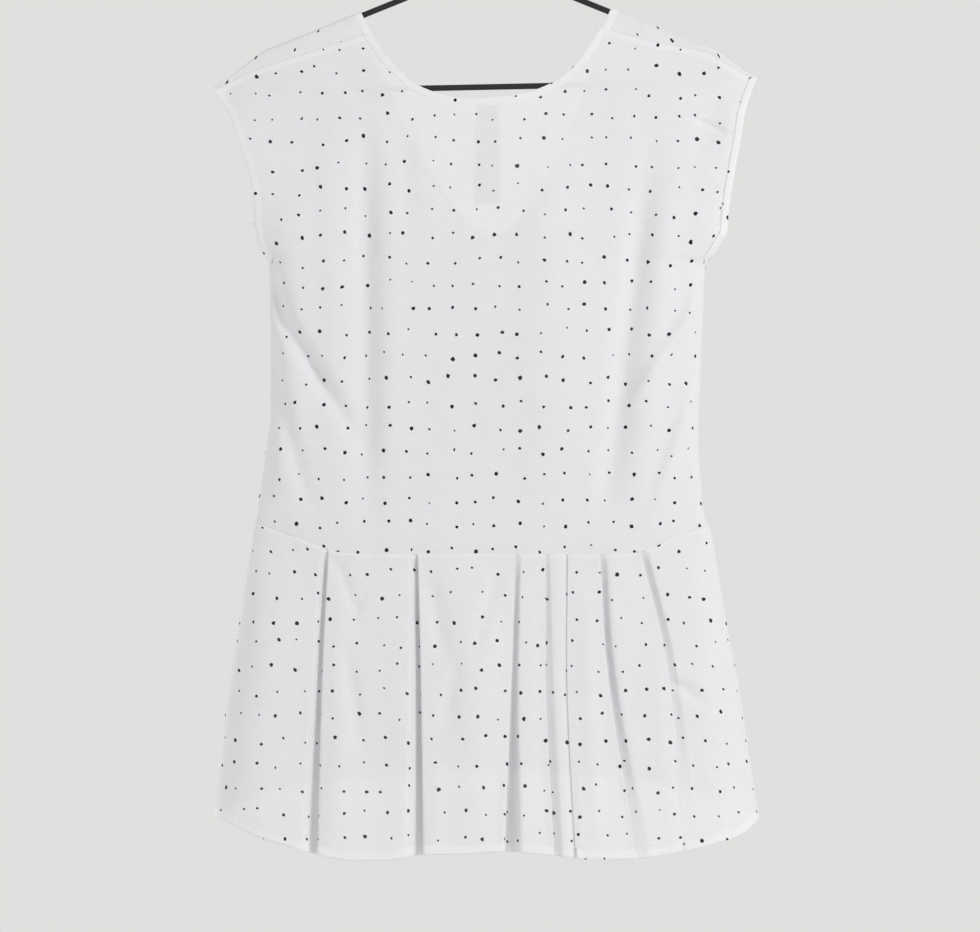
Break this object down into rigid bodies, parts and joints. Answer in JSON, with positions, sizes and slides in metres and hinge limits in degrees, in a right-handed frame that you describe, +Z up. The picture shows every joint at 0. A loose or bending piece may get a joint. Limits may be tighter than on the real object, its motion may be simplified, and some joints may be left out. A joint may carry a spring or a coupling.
{
  "type": "sleeveless pleated peplum top on wire hanger",
  "caption": "Loose sleeveless top with cap shoulders, dropped waist seam and pleated high-low peplum, hung flat on a wire hanger.",
  "frame": {"origin": "inner top of the hanger's hook, where a rail carries it", "axes": "+Z up, X to the right of a viewer who faces the garment's back, -Y out of the garment's back"},
  "size_m": [0.5191, 0.0944, 0.9266],
  "materials": {
    "spotted_cotton": "thin white plain-weave cotton with small uneven black spots, slightly see-through",
    "cotton_binding": "the same cotton folded into a bias strip, so denser and brighter",
    "label_tape": "blank satin tape",
    "black_wire": "matte black coating"
  },
  "bodies": {
    "root": {"back_bodice": "spotted_cotton", "front_bodice": "spotted_cotton", "back_peplum": "spotted_cotton", "front_peplum": "spotted_cotton", "back_neck_binding": "cotton_binding", "front_neck_binding": "cotton_binding", "back_left_armhole_binding": "cotton_binding", "front_left_armhole_binding": "cotton_binding", "back_right_armhole_binding": "cotton_binding", "front_right_armhole_binding": "cotton_binding", "neck_label": "label_tape", "care_label": "label_tape", "hanger_frame": "black_wire", "hanger_hook": "black_wire", "hanger_collar": "black_wire"}
  },
  "joints": []
}
